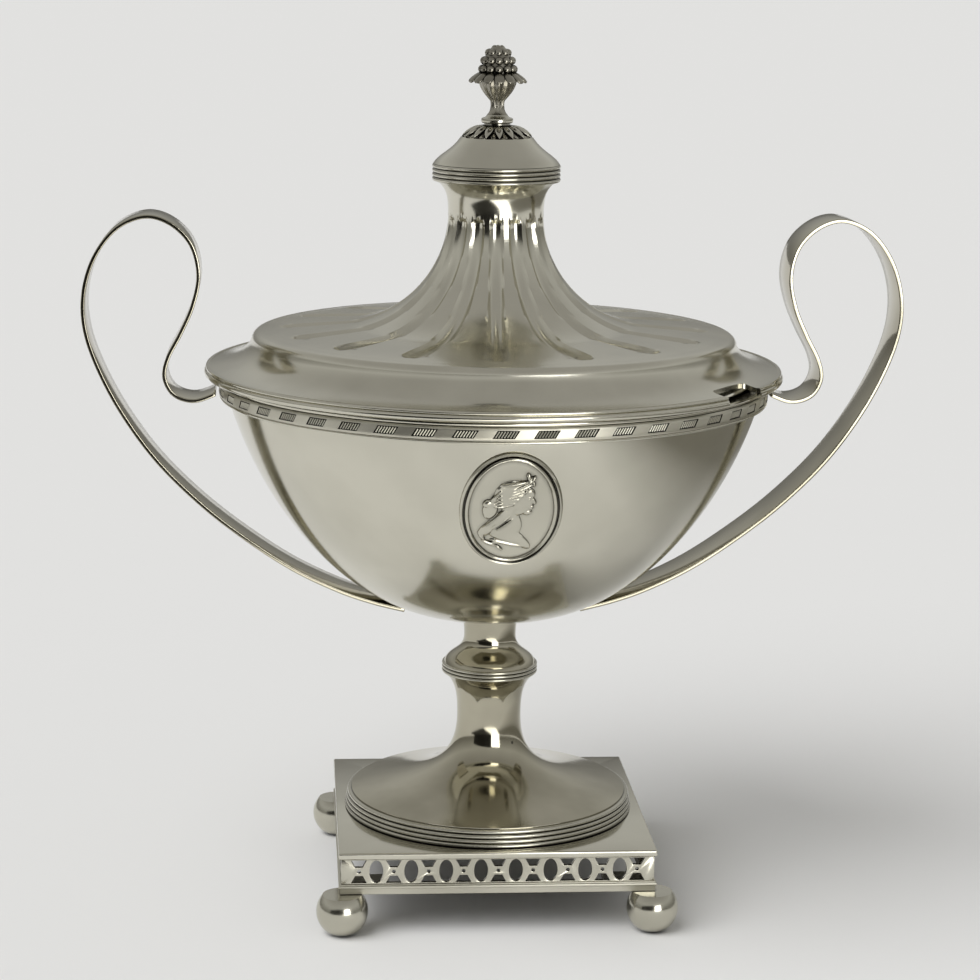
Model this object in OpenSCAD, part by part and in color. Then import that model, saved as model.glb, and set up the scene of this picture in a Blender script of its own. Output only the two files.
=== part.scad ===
// Covered silver sugar bowl on a pierced square plinth.
// Millimetres, +Z up. The origin is on the table, under the centre of the plinth.
// The handles lie along X, and the front medallion faces -Y.

/* [Plinth] */
// Side of the square plinth plate
plinth_side = 70; // [68:0.5:74]
// Thickness of the plinth plate
plate_t = 1.5; // [1.2:0.1:2]
// Height of the pierced gallery
gallery_h = 5.7; // [5:0.1:7]
// Thickness of the gallery strips
gallery_t = 1; // [0.8:0.1:1.4]
// Pierced units along one side of the gallery
gallery_units = 9; // [7:2:11]
// Height of the frame under the gallery
frame_h = 2.3; // [2:0.1:3]
// Width of a ball foot
ball_d = 11.4; // [10:0.1:12.5]
// Height of a ball foot, from the table to the frame
ball_h = 9.1; // [8.4:0.1:9.6]

/* [Pedestal] */
// Radius of the pedestal over its reeded edge
pedestal_r = 33; // [31:0.1:33.5]
// Radius of the stem at its waist
stem_r = 7.3; // [6.8:0.1:8]
// Radius of the knop over its reeds
knop_r = 10.9; // [10.4:0.1:11.5]
// Thickness of the spun silver sheet
sheet_t = 1; // [0.8:0.05:1.1]

/* [Bowl] */
// Radius of the bowl at its rim
bowl_r = 60; // [59.8:0.1:60.2]
// Radius over the rim border
border_r = 61.3; // [61:0.1:61.6]
// Height of the rim border
border_h = 2.9; // [2.6:0.1:3.2]
// Repeats round the rim border
border_repeats = 46; // [36:2:52]

/* [Handles] */
// Width of the handle straps
strap_w = 13; // [10:0.5:14]
// Thickness of the handle straps
strap_t = 0.9; // [0.8:0.05:1]

/* [Medallions] */
// Width of a medallion over its frame
medallion_w = 21.5; // [20:0.1:23]
// Height of a medallion over its frame
medallion_l = 29.6; // [27:0.1:30]

/* [Lid] */
// Radius of the lid's flange
flange_r = 64.5; // [64:0.1:64.6]
// Width of the two notches in the flange
notch_w = 14; // [12:0.5:15]
// Depth of the two notches in the flange
notch_depth = 5; // [4:0.1:5.2]
// Angle of the first notch from +X towards the front
notch_turn = 38; // [25:1:45]
// Radius of the lid's neck at its narrowest
neck_r = 10.6; // [10:0.1:11]
// Radius of the reeded ring on the neck
neck_ring_r = 14.2; // [13.8:0.1:14.6]

/* [Hidden] */
plate_top = ball_h + frame_h + gallery_h + plate_t;
gallery_side = plinth_side - 1.2;
unit_w = gallery_side / gallery_units;
eps = 0.02;

// Heights above the top of the plate
knop_z = 31.6;
knop_h = 2.4;
waist_z = 21.5;
spool_neck_r = 5.9;
spool_neck_z = 40.2;
bowl_z = 45.6;
bowl_foot_r = 7.4;
border_z = 96.1;
wire_h = 0.6;
roll_h = 1.2;
rim_z = border_z + border_h + roll_h;
lid_z = rim_z + 0.3;
flange_t = 1;
dome_edge_r = 53.9;
dome_edge_z = lid_z + 7.5;
neck_z = lid_z + 36.1;
neck_top_z = neck_z + 6.8;
neck_ring_h = 3.8;
cap_z = neck_top_z + neck_ring_h;
cap_h = 6.4;
rosette_h = 3;
collar_z = cap_z + cap_h + rosette_h - 0.9;
collar_h = 2.2;
calyx_z = collar_z + collar_h + 2.6;
berry_z = calyx_z + 5;
berry_h = 7.6;
stud_r = 1.25;
foot_stud_r = 2;

$fn = 96;

// ---- curves ----

function bezier(a, b, c, d, n) = [for (i = [0 : n]) let (t = i / n, s = 1 - t)
    s * s * s * a + 3 * s * s * t * b + 3 * s * t * t * c + t * t * t * d];

function arc(centre, r, from, to, n) = [for (i = [0 : n]) let (a = from + (to - from) * i / n)
    centre + r * [cos(a), sin(a)]];

function unit(v) = v / norm(v);

// The normal on the left of an open line of points, at point i
function side(line, i) = let (
    a = line[max(i - 1, 0)], b = line[min(i + 1, len(line) - 1)], d = unit(b - a)) [-d.y, d.x];

// The same line moved sideways
function moved(line, by) = [for (i = [0 : len(line) - 1]) line[i] + by * side(line, i)];

function backwards(line) = [for (i = [len(line) - 1 : -1 : 0]) line[i]];

// A wall between a line and the same line moved sideways
function wall(line, from, to) = concat(moved(line, from), backwards(moved(line, to)));

// A smooth line through points that are set by hand
function through(p, n) = concat([for (i = [0 : len(p) - 2], k = [0 : n - 1]) let (
    t = k / n,
    before = i == 0 ? 2 * p[0] - p[1] : p[i - 1],
    after = i == len(p) - 2 ? 2 * p[i + 1] - p[i] : p[i + 2])
    0.5 * (2 * p[i] + (p[i + 1] - before) * t
        + (2 * before - 5 * p[i] + 4 * p[i + 1] - after) * t * t
        + (3 * p[i] - before - 3 * p[i + 1] + after) * t * t * t)], [p[len(p) - 1]]);

function oval(w, l, n = 48) = [for (i = [0 : n - 1]) [w / 2 * cos(360 * i / n), l / 2 * sin(360 * i / n)]];

// ---- shared shapes ----

module on_plate(z = 0) translate([0, 0, plate_top + z]) children();

module turned(points) rotate_extrude() polygon(points);

module ring(r_out, r_in, h) difference() {
    cylinder(r = r_out, h = h);
    translate([0, 0, -1]) cylinder(r = r_in, h = h + 2);
}

// The outline of half-round reeds, stacked from the height 0; each stands further in by lean
function reeds(r, reed_r, count, lean = 0) = [for (i = [0 : count - 1], a = [-80 : 20 : 80])
    [r - reed_r - lean * i + reed_r * cos(a), reed_r * (2 * i + 1 + sin(a))]];

// A ring from an inner radius out to an outline
module ring_to(outline, r_in, h) turned(concat([[r_in, 0]], outline, [[r_in, h]]));

module square_ring(side, inner, h) difference() {
    translate([-side / 2, -side / 2, 0]) cube([side, side, h]);
    translate([-inner / 2, -inner / 2, -1]) cube([inner, inner, h + 2]);
}

// ---- plinth ----

ball_reach = plinth_side / 2 - 0.8;

module ball_foot(x, y) color("#c8c5b9") intersection() {
    translate([x, y, ball_d / 2 - 0.35]) sphere(d = ball_d);
    translate([x - ball_d, y - ball_d, 0]) cube([2 * ball_d, 2 * ball_d, ball_h]);
}

module foot_front_left() ball_foot(-ball_reach, -ball_reach);
module foot_front_right() ball_foot(ball_reach, -ball_reach);
module foot_rear_left() ball_foot(-ball_reach, ball_reach);
module foot_rear_right() ball_foot(ball_reach, ball_reach);

frame_inner = plinth_side - 4.4;
gusset = 9;

module plinth_frame() color("#bdb9ac") translate([0, 0, ball_h]) {
    square_ring(plinth_side - 0.6, frame_inner, frame_h);
    translate([0, 0, frame_h - 0.9]) square_ring(plinth_side, plinth_side - 2, 0.6);
    reach = (frame_inner - gusset) / 2 + eps;
    for (sx = [-1, 1], sy = [-1, 1])
        translate([sx * reach - gusset / 2, sy * reach - gusset / 2, 0]) cube([gusset, gusset, 0.9]);
}

oval_w = 3.1;
waist_hole_r = 0.42;

// The openings of one pierced unit: half an oval at each side, and a trapezium above and below the bridge
module gallery_cuts() {
    for (i = [1 : gallery_units - 1])
        translate([(i - gallery_units / 2) * unit_w, gallery_h / 2]) polygon(oval(oval_w, gallery_h - 0.5, 24));
    for (i = [0 : gallery_units - 1]) translate([(i + 0.5 - gallery_units / 2) * unit_w, gallery_h / 2]) {
        circle(waist_hole_r, $fn = 24);
        for (s = [-1, 1]) polygon([[-0.85, s * 0.95], [0.85, s * 0.95], [1.75, s * (gallery_h / 2 - 0.25)],
            [-1.75, s * (gallery_h / 2 - 0.25)]]);
    }
}

module gallery_strip(length) color("#b9b5a8")
    translate([0, gallery_t - gallery_side / 2, ball_h + frame_h]) rotate([90, 0, 0])
        linear_extrude(gallery_t) difference() {
            translate([-length / 2, 0]) square([length, gallery_h]);
            gallery_cuts();
        }

module gallery_front() gallery_strip(gallery_side);
module gallery_rear() rotate([0, 0, 180]) gallery_strip(gallery_side);
module gallery_left() rotate([0, 0, -90]) gallery_strip(gallery_side - 2 * gallery_t);
module gallery_right() rotate([0, 0, 90]) gallery_strip(gallery_side - 2 * gallery_t);

module plinth_plate() color("#c4c1b4") difference() {
    translate([-plinth_side / 2, -plinth_side / 2, plate_top - plate_t]) cube([plinth_side, plinth_side, plate_t]);
    translate([0, 0, plate_top - plate_t - 1]) cylinder(r = foot_stud_r + 0.1, h = plate_t + 2);
}

// ---- fixing of the pedestal ----

stud_drop = plate_t + 4;
foot_nut_h = 2.4;
foot_washer_t = 0.8;
web_z = 16;
web_t = 1.2;

module foot_stud() color("#8f8b80") on_plate(-stud_drop) cylinder(r = foot_stud_r, h = stud_drop + web_z + web_t);
module foot_washer() color("#a7a296") on_plate(-plate_t - foot_washer_t) ring(6, foot_stud_r + 0.05, foot_washer_t);
module foot_nut() color("#8f8b80") on_plate(-plate_t - foot_washer_t - foot_nut_h) difference() {
    translate([-4, -4, 0]) cube([8, 8, foot_nut_h]);
    translate([0, 0, -1]) cylinder(r = foot_stud_r + 0.03, h = foot_nut_h + 2);
}

// ---- pedestal ----

reed_r = 0.5;
reeding_h = 8 * reed_r;
foot_edge_r = pedestal_r - 1.6;

foot_line = bezier([foot_edge_r, reeding_h + 0.3], [14, 8], [stem_r, 10], [stem_r, waist_z], 28);
stem_line = bezier([stem_r, waist_z], [stem_r, 26.5], [7.8, 29.4], [knop_r - 0.4, knop_z], 14);

module pedestal_foot() color("#c4c1b4") on_plate() {
    shoulder = 0.9;
    line = concat(foot_line, [for (i = [1 : len(stem_line) - 1]) stem_line[i]]);
    below = [for (q = line) if (q.y < knop_z - 0.5) q];
    inside = [for (p = moved(below, shoulder)) [p.x, min(p.y, knop_z - 0.02)]];
    turned(concat([[foot_edge_r, 0]], line, backwards(inside), [[foot_edge_r - shoulder, 0]]));
    translate([0, 0, web_z]) ring(stem_r + 0.3, foot_stud_r + eps, web_t);
}

module pedestal_reeding() color("#b4b0a3") on_plate()
    ring_to(reeds(pedestal_r, reed_r, 4, 0.22), foot_edge_r + eps, reeding_h);

module stem_knop() color("#b4b0a3") on_plate(knop_z) ring_to(reeds(knop_r, knop_h / 6, 3), 0, knop_h);

spool_line = concat(
    bezier([knop_r - 0.5, knop_z + knop_h], [9.6, 36.6], [spool_neck_r, 36.6], [spool_neck_r, spool_neck_z], 14),
    [for (i = [1 : 10]) bezier([spool_neck_r, spool_neck_z], [spool_neck_r, 42.8], [6.2, 44.6],
        [bowl_foot_r - 0.3, bowl_z], 10)[i]]);

module stem_spool() color("#c4c1b4") on_plate() turned(concat([[0, knop_z + knop_h]], spool_line, [[0, bowl_z]]));

// ---- bowl ----

bowl_line = concat(
    bezier([bowl_foot_r, bowl_z], [36, 45.8], [54, 76.5], [bowl_r - 0.7, border_z - 0.3], 36),
    [[bowl_r, rim_z]]);

module bowl_shell() color("#c8c5b9") on_plate()
    turned(concat([[0, bowl_z]], bowl_line, backwards(moved(bowl_line, sheet_t)), [[0, bowl_z + sheet_t]]));

border_in = bowl_r + 0.05;

module rim_wire_lower() color("#b4b0a3") on_plate(border_z - wire_h) difference() {
    rotate_extrude() translate([border_r - 1.2, wire_h / 2]) square([2.1, wire_h], center = true);
    translate([0, 0, -1]) cylinder(r = border_in, h = 3);
}

module rim_wire_upper() color("#b4b0a3") on_plate(border_z + border_h) ring(border_r - 0.1, border_in, roll_h);

recess = [4.4, 1.7];

module rim_border() color("#8f8b7e") on_plate(border_z) difference() {
    ring(border_r, border_in, border_h);
    for (i = [0 : border_repeats - 1]) rotate([0, 0, 360 * i / border_repeats])
        translate([border_r - 0.45, -recess.x / 2, (border_h - recess.y) / 2]) cube([2, recess.x, recess.y]);
}

// ---- handles ----

// The middle line of the right strap, from the rim, round the loop, to under the bowl
strap_points = [[60.4, 97.2], [66.3, 95.1], [70.9, 96.4], [73, 100.2], [72.2, 104.6], [69.4, 110], [66.7, 116.2],
    [65.4, 123], [67, 129.6], [71.4, 134.1], [77, 135.6], [83.2, 132.9], [88, 126.6], [90.4, 118.6], [90.1, 110.4],
    [87, 101.2], [81.7, 91.2], [74.3, 81], [64.6, 71.3], [54.6, 63.4], [44.6, 56.8], [34.8, 52], [27.2, 49.3],
    [19.8, 47.4]];

strap_line = through(strap_points, 6);

module strap() difference() {
    on_plate() rotate([90, 0, 0]) translate([0, 0, -strap_w / 2]) linear_extrude(strap_w)
        polygon(wall(strap_line, -strap_t / 2, strap_t / 2));
    on_plate(border_z - 5) cylinder(r = border_r + 0.02, h = border_h + roll_h + 7);
    on_plate() turned(concat([[0, bowl_z]], moved(bowl_line, -0.02), [[0, border_z]]));
}

module handle_right() color("#c8c5b9") strap();
module handle_left() color("#c8c5b9") rotate([0, 0, 180]) strap();

// ---- medallions ----

medallion_z = 79.8;
medallion_tilt = 26;
medallion_frame_w = 2.1;

// Space in front of the bowl's wall, between two distances from it
module wall_layer(from, to) on_plate() turned(concat(
    moved(bowl_line, -from), backwards(moved(bowl_line, -to))));

// An outline pushed through the wall, square to it
module through_wall(r) on_plate(medallion_z) translate([0, -r, 0]) rotate([90 + medallion_tilt, 0, 0])
    translate([0, 0, -8]) linear_extrude(20) children();

medallion_at_r = 53.3;

module medallion_frame() intersection() {
    wall_layer(0.02, 0.95);
    through_wall(medallion_at_r) difference() {
        polygon(oval(medallion_w, medallion_l));
        polygon(oval(medallion_w - 2 * medallion_frame_w, medallion_l - 2 * medallion_frame_w));
    }
}

module medallion_field() intersection() {
    wall_layer(0.02, 0.32);
    through_wall(medallion_at_r) polygon(oval(medallion_w - 2 * medallion_frame_w - 0.04,
        medallion_l - 2 * medallion_frame_w - 0.04));
}

// A plain classical head, neck and shoulders, looking towards +X
module bust_outline() {
    translate([0.3, 3]) polygon(oval(8.2, 10.8));
    translate([-4.3, 1]) polygon(oval(3.8, 5.2));
    polygon([[-2.8, 1], [2.4, 0.4], [2, -5], [4.2, -9.8], [-1.4, -10.2], [-5.4, -8.4], [-6.6, -5.6], [-4, -2.4]]);
}

module medallion_bust() intersection() {
    wall_layer(0.34, 1.15);
    through_wall(medallion_at_r) bust_outline();
}

module medallion_frame_front() color("#aeaa9c") medallion_frame();
module medallion_field_front() color("#8f8b7e") medallion_field();
module medallion_bust_front() color("#c8c5b9") medallion_bust();
module medallion_frame_rear() color("#aeaa9c") rotate([0, 0, 180]) medallion_frame();
module medallion_field_rear() color("#8f8b7e") rotate([0, 0, 180]) medallion_field();
module medallion_bust_rear() color("#c8c5b9") rotate([0, 0, 180]) medallion_bust();

// ---- lid ----

edge_bead_w = 1.3;
edge_bead_h = 2.2;
flange_line_r = flange_r - edge_bead_w;
dome_r = 25.2;
dome_centre = [neck_r + dome_r, neck_z];

lid_line = concat(
    bezier([flange_line_r, lid_z + 2.1], [60, lid_z + 2.7], [55.6, lid_z + 3.8], [dome_edge_r + 0.1, dome_edge_z], 14),
    arc([dome_edge_r - 1.9, dome_edge_z], 2, 15, 80, 6),
    bezier([dome_edge_r - 3.6, dome_edge_z + 2.1], [46, dome_edge_z + 2.7], [40, dome_edge_z + 3],
        dome_centre + dome_r * [cos(262), sin(262)], 10),
    [for (i = [1 : 22]) dome_centre + dome_r * [cos(262 - 82 * i / 22), sin(262 - 82 * i / 22)]],
    [for (i = [1 : 8]) bezier([neck_r, neck_z], [neck_r, neck_z + 3.2], [11, neck_z + 5.2], [13.2, neck_top_z], 8)[i]]);

// The two notches let the flange past whatever stands beside the rim
module notches() for (turn = [0, 180]) rotate([0, 0, turn - notch_turn])
    translate([flange_r - notch_depth, -notch_w / 2, plate_top + lid_z - 1]) cube([notch_depth + 5, notch_w, 8]);

module lid_shell() color("#c8c5b9") difference() {
    under = [for (p = moved(lid_line, flange_t)) [p.x, min(p.y, neck_top_z)]];
    on_plate() turned(concat(lid_line, backwards(under)));
    notches();
}

module lid_edge_bead() color("#b4b0a3") difference() {
    on_plate(lid_z) rotate_extrude() difference() {
        union() {
            translate([flange_line_r + eps, 0]) square([edge_bead_w - edge_bead_h / 2 + 0.4, edge_bead_h]);
            translate([flange_r - edge_bead_h / 2, edge_bead_h / 2]) circle(d = edge_bead_h, $fn = 32);
        }
        translate([flange_line_r - 2 + eps, -1]) square([2, 4]);
    }
    notches();
}

bezel_r = 58.1;

module lid_bezel() color("#b4b0a3") on_plate(lid_z - 4) difference() {
    cylinder(r = bezel_r, h = 6);
    translate([0, 0, -1]) cylinder(r = bezel_r - 0.9, h = 8);
    translate([0, 0, -lid_z + 4])
        turned(concat(moved(lid_line, flange_t + 0.02), [[neck_r, 200], [90, 200], [90, lid_z]]));
}

module neck_ring() color("#b4b0a3") on_plate(neck_top_z)
    ring_to(reeds(neck_ring_r, neck_ring_h / 8, 4), stud_r + 0.03, neck_ring_h);

cap_line = concat(
    bezier([neck_ring_r - 0.2, cap_z], [12.6, cap_z + 2.2], [10.2, cap_z + 2.6], [8, cap_z + cap_h - 0.6], 12),
    [[4, cap_z + cap_h + 0.7]]);

module lid_cap() color("#c4c1b4") on_plate() difference() {
    turned(concat([[0, cap_z]], cap_line, [[0, cap_z + cap_h + 0.7]]));
    translate([0, 0, cap_z - 1]) cylinder(r = stud_r + 0.03, h = cap_h + 3);
}

leaves = 16;

module leaf_rosette() color("#8f8b7e") on_plate() difference() {
    turned([[stud_r + 0.05, cap_z + cap_h + 0.75], [4, cap_z + cap_h + 0.75], [8.1, cap_z + cap_h - 0.5],
        [8, cap_z + cap_h + 0.3], [6.2, cap_z + cap_h + 1.8], [3.6, collar_z - 0.03], [stud_r + 0.05, collar_z - 0.03]]);
    for (i = [0 : leaves - 1]) rotate([0, 0, 360 * (i + 0.5) / leaves]) translate([0, 0, cap_z + cap_h - 2])
        linear_extrude(6) polygon([[5.4, 0], [9, 1.1], [9, -1.1]]);
}

module finial_collar() color("#c4c1b4") on_plate(collar_z) difference() {
    turned([[0, 0], [3.3, 0], [3.5, 0.4], [3.5, 0.8], [3.3, 1.1], [2.6, 1.4], [2.2, collar_h], [0, collar_h]]);
    translate([0, 0, -1]) cylinder(r = stud_r + 0.03, h = collar_h + 2);
}

calyx_line = concat([[1.9, collar_z + collar_h + 0.02]],
    bezier([1.5, collar_z + collar_h + 0.7], [1.2, calyx_z - 0.4], [2, calyx_z + 0.6], [5, berry_z - 1.7], 12),
    [[6.5, berry_z - 2.2], [6.6, berry_z - 1.5], [4.6, berry_z - 0.02]]);

module finial_calyx() color("#8f8b7e") on_plate() difference() {
    turned(concat([[0, collar_z + collar_h + 0.02]], calyx_line, [[0, berry_z - 0.02]]));
    for (i = [0 : 9]) rotate([0, 0, 36 * i]) translate([0, 0, berry_z - 4])
        linear_extrude(6) polygon([[5.2, 0], [7.4, 1], [7.4, -1]]);
    translate([0, 0, collar_z]) cylinder(r = stud_r - 0.37, h = 6.5);
}

berry_line = bezier([4.3, 0], [4.3, 3.4], [3.4, 5.8], [1.7, berry_h - 0.5], 10);

module finial_berry() color("#9c988b") on_plate(berry_z)
    turned(concat([[0, 0]], berry_line, [[0.9, berry_h], [0, berry_h]]));

// ---- fixing of the finial ----

finial_nut_h = 2;
finial_washer_t = 0.7;
stud_low = cap_z - neck_ring_h - finial_washer_t - finial_nut_h - 1;

module finial_stud() color("#8f8b80") on_plate(stud_low)
    cylinder(r = stud_r, h = collar_z + collar_h - stud_low);
module finial_washer() color("#a7a296") on_plate(neck_top_z - finial_washer_t)
    ring(4, stud_r + 0.05, finial_washer_t);
module finial_nut() color("#8f8b80") on_plate(neck_top_z - finial_washer_t - finial_nut_h) difference() {
    cylinder(r = 3, h = finial_nut_h, $fn = 6);
    translate([0, 0, -1]) cylinder(r = stud_r + 0.03, h = finial_nut_h + 2);
}

foot_front_left();
foot_front_right();
foot_rear_left();
foot_rear_right();
plinth_frame();
gallery_front();
gallery_rear();
gallery_left();
gallery_right();
plinth_plate();
foot_stud();
foot_washer();
foot_nut();
pedestal_foot();
pedestal_reeding();
stem_knop();
stem_spool();
bowl_shell();
rim_wire_lower();
rim_border();
rim_wire_upper();
handle_left();
handle_right();
medallion_frame_front();
medallion_field_front();
medallion_bust_front();
medallion_frame_rear();
medallion_field_rear();
medallion_bust_rear();
lid_shell();
lid_edge_bead();
lid_bezel();
neck_ring();
lid_cap();
leaf_rosette();
finial_collar();
finial_calyx();
finial_berry();
finial_stud();
finial_washer();
finial_nut();
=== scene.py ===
from math import atan2, cos, hypot, pi, radians, sin

import bpy
from mathutils import Matrix, Vector


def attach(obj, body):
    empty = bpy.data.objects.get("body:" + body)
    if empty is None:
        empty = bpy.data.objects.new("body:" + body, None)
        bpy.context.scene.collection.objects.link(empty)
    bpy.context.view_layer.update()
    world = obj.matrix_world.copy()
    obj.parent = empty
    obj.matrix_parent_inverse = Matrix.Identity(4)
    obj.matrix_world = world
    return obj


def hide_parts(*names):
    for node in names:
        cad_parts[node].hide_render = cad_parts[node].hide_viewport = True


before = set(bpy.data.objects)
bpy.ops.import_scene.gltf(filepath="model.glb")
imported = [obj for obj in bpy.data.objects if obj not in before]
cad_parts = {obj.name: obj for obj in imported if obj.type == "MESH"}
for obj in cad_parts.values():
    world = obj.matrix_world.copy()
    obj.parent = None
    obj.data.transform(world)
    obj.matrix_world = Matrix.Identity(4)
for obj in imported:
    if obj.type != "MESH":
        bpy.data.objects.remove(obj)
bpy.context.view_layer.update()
print("frame loaded:", len(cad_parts), "nodes")

# Lengths below are millimetres. Heights of turned pieces are counted from the top of the plinth plate.
perMetre = 1000
plateTop = 18.6
mergeWithin = 2e-6  # metres


# Lines are lists of (radius or x, height) points.

def curve(a, b, c, d, steps):
    line = []
    for i in range(steps + 1):
        t = i / steps
        s = 1 - t
        line.append(tuple(s**3 * a[k] + 3 * s * s * t * b[k] + 3 * s * t * t * c[k] + t**3 * d[k]
                          for k in range(2)))
    return line


def arc(centre, radius, start, end, steps):
    angles = [radians(start + (end - start) * i / steps) for i in range(steps + 1)]
    return [(centre[0] + radius * cos(a), centre[1] + radius * sin(a)) for a in angles]


def moved(line, by):
    # the same line pushed to its left
    out = []
    for i, (x, y) in enumerate(line):
        a, b = line[max(i - 1, 0)], line[min(i + 1, len(line) - 1)]
        length = hypot(b[0] - a[0], b[1] - a[1])
        out.append((x - by * (b[1] - a[1]) / length, y + by * (b[0] - a[0]) / length))
    return out


def reeds(radius, reedRadius, count, lean=0.0, base=0.0, steps=10):
    # half-round reeds stacked from the height base; each one's arc stops short where it meets the next
    reach = 80
    line = []
    for i in range(count):
        for k in range(steps + 1):
            a = radians(-reach + 2 * reach * k / steps)
            line.append((radius - reedRadius - lean * i + reedRadius * cos(a),
                         base + reedRadius * (2 * i + 1 + sin(a))))
    return line


def smoothStep(value):
    t = min(max(value, 0), 1)
    return t * t * (3 - 2 * t)


# Making and finishing pieces.

def allDeselected():
    if bpy.context.object and bpy.context.object.mode != "OBJECT":
        bpy.ops.object.mode_set(mode="OBJECT")
    bpy.ops.object.select_all(action="DESELECT")


def active(piece):
    allDeselected()
    bpy.context.view_layer.objects.active = piece
    piece.select_set(True)


def drawLine(name, points):
    # a chain of edges, drawn by extruding one vertex; left in edit mode
    allDeselected()
    bpy.ops.mesh.primitive_plane_add(size=0.001)
    piece = bpy.context.object
    piece.name = name
    bpy.ops.object.mode_set(mode="EDIT")
    bpy.ops.mesh.select_mode(type="VERT")
    bpy.ops.mesh.select_all(action="SELECT")
    bpy.ops.mesh.merge(type="CENTER")
    bpy.ops.transform.translate(value=points[0])
    for a, b in zip(points, points[1:]):
        bpy.ops.mesh.extrude_region_move(TRANSFORM_OT_translate={"value": b - a})
    return piece


def turned(name, line, steps=192, closed=True, twist=None):
    # a line in the XZ plane, spun round the middle
    points = [Vector((r, 0, z + plateTop)) / perMetre for r, z in line]
    if twist:
        points = [Matrix.Rotation(twist(z), 3, "Z") @ p for p, (r, z) in zip(points, line)]
    if closed:
        points.append(points[0])
    piece = drawLine(name, points)
    bpy.ops.mesh.select_all(action="SELECT")
    bpy.ops.mesh.spin(steps=steps, angle=2 * pi, center=(0, 0, 0), axis=(0, 0, 1))
    bpy.ops.mesh.select_all(action="SELECT")
    bpy.ops.mesh.remove_doubles(threshold=mergeWithin)
    bpy.ops.mesh.normals_make_consistent(inside=False)
    bpy.ops.object.mode_set(mode="OBJECT")
    if not closed and sum(face.normal.z for face in piece.data.polygons) < 0:
        bpy.ops.object.mode_set(mode="EDIT")
        bpy.ops.mesh.flip_normals()
        bpy.ops.object.mode_set(mode="OBJECT")
    return piece


def modified(piece, kind, **settings):
    active(piece)
    modifier = piece.modifiers.new(kind.lower(), kind)
    for key, value in settings.items():
        setattr(modifier, key, value)
    bpy.ops.object.modifier_apply(modifier=modifier.name)
    return piece


def smoothed(piece, angle=35):
    active(piece)
    bpy.ops.object.shade_smooth_by_angle(angle=radians(angle))
    return piece


def applied(piece):
    active(piece)
    bpy.ops.object.transform_apply(location=True, rotation=True, scale=True)
    return piece


def copied(piece, turn=0.0):
    # a copy with its own mesh, turned round the middle
    active(piece)
    bpy.ops.object.duplicate(linked=False)
    other = bpy.context.object
    if turn:
        other.rotation_euler = (0, 0, turn)
        applied(other)
    return other


def joined(name, pieces):
    allDeselected()
    for piece in pieces:
        piece.select_set(True)
    bpy.context.view_layer.objects.active = pieces[0]
    bpy.ops.object.join()
    pieces[0].name = name
    return pieces[0]


def cut(piece, tool):
    modified(piece, "BOOLEAN", operation="DIFFERENCE", solver="EXACT", object=tool)
    return piece


def removed(piece):
    bpy.data.objects.remove(piece)


def nodeCopy(name, node, width, segments=2, angle=30):
    # the CAD part's own shape with its edges eased
    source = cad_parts[node]
    allDeselected()
    piece = bpy.data.objects.new(name, source.data.copy())
    bpy.context.scene.collection.objects.link(piece)
    active(piece)
    bpy.ops.object.mode_set(mode="EDIT")
    bpy.ops.mesh.select_all(action="SELECT")
    bpy.ops.mesh.remove_doubles(threshold=mergeWithin)
    bpy.ops.mesh.dissolve_limited(angle_limit=radians(1))
    bpy.ops.object.mode_set(mode="OBJECT")
    modified(piece, "BEVEL", width=width / perMetre, segments=segments, limit_method="ANGLE",
             angle_limit=radians(angle), harden_normals=False)
    return smoothed(piece)


def handOver(piece, body, finish, slotName, *nodes, ground=None):
    grounds = [face.material_index for face in piece.data.polygons]  # clear() forgets them
    piece.data.materials.clear()
    piece.data.materials.append(finish)
    if ground:
        piece.data.materials.append(ground)
        piece.data.polygons.foreach_set("material_index", grounds)
    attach(piece, body)
    if nodes:
        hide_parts(*nodes)
    return piece


# Finishes: the same sterling silver, handled in different ways.

def linear(hexColour):
    parts = [int(hexColour[i:i + 2], 16) / 255 for i in (1, 3, 5)]
    return tuple(p / 12.92 if p <= 0.04045 else ((p + 0.055) / 1.055) ** 2.4 for p in parts) + (1.0,)


def add(tree, kind, settings=None, links=None):
    node = tree.nodes.new(kind)
    for key, value in (settings or {}).items():
        if isinstance(key, str) and hasattr(node, key):
            setattr(node, key, value)
        else:
            node.inputs[key].default_value = value
    for key, socket in (links or {}).items():
        tree.links.new(socket, node.inputs[key])
    return node


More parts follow.
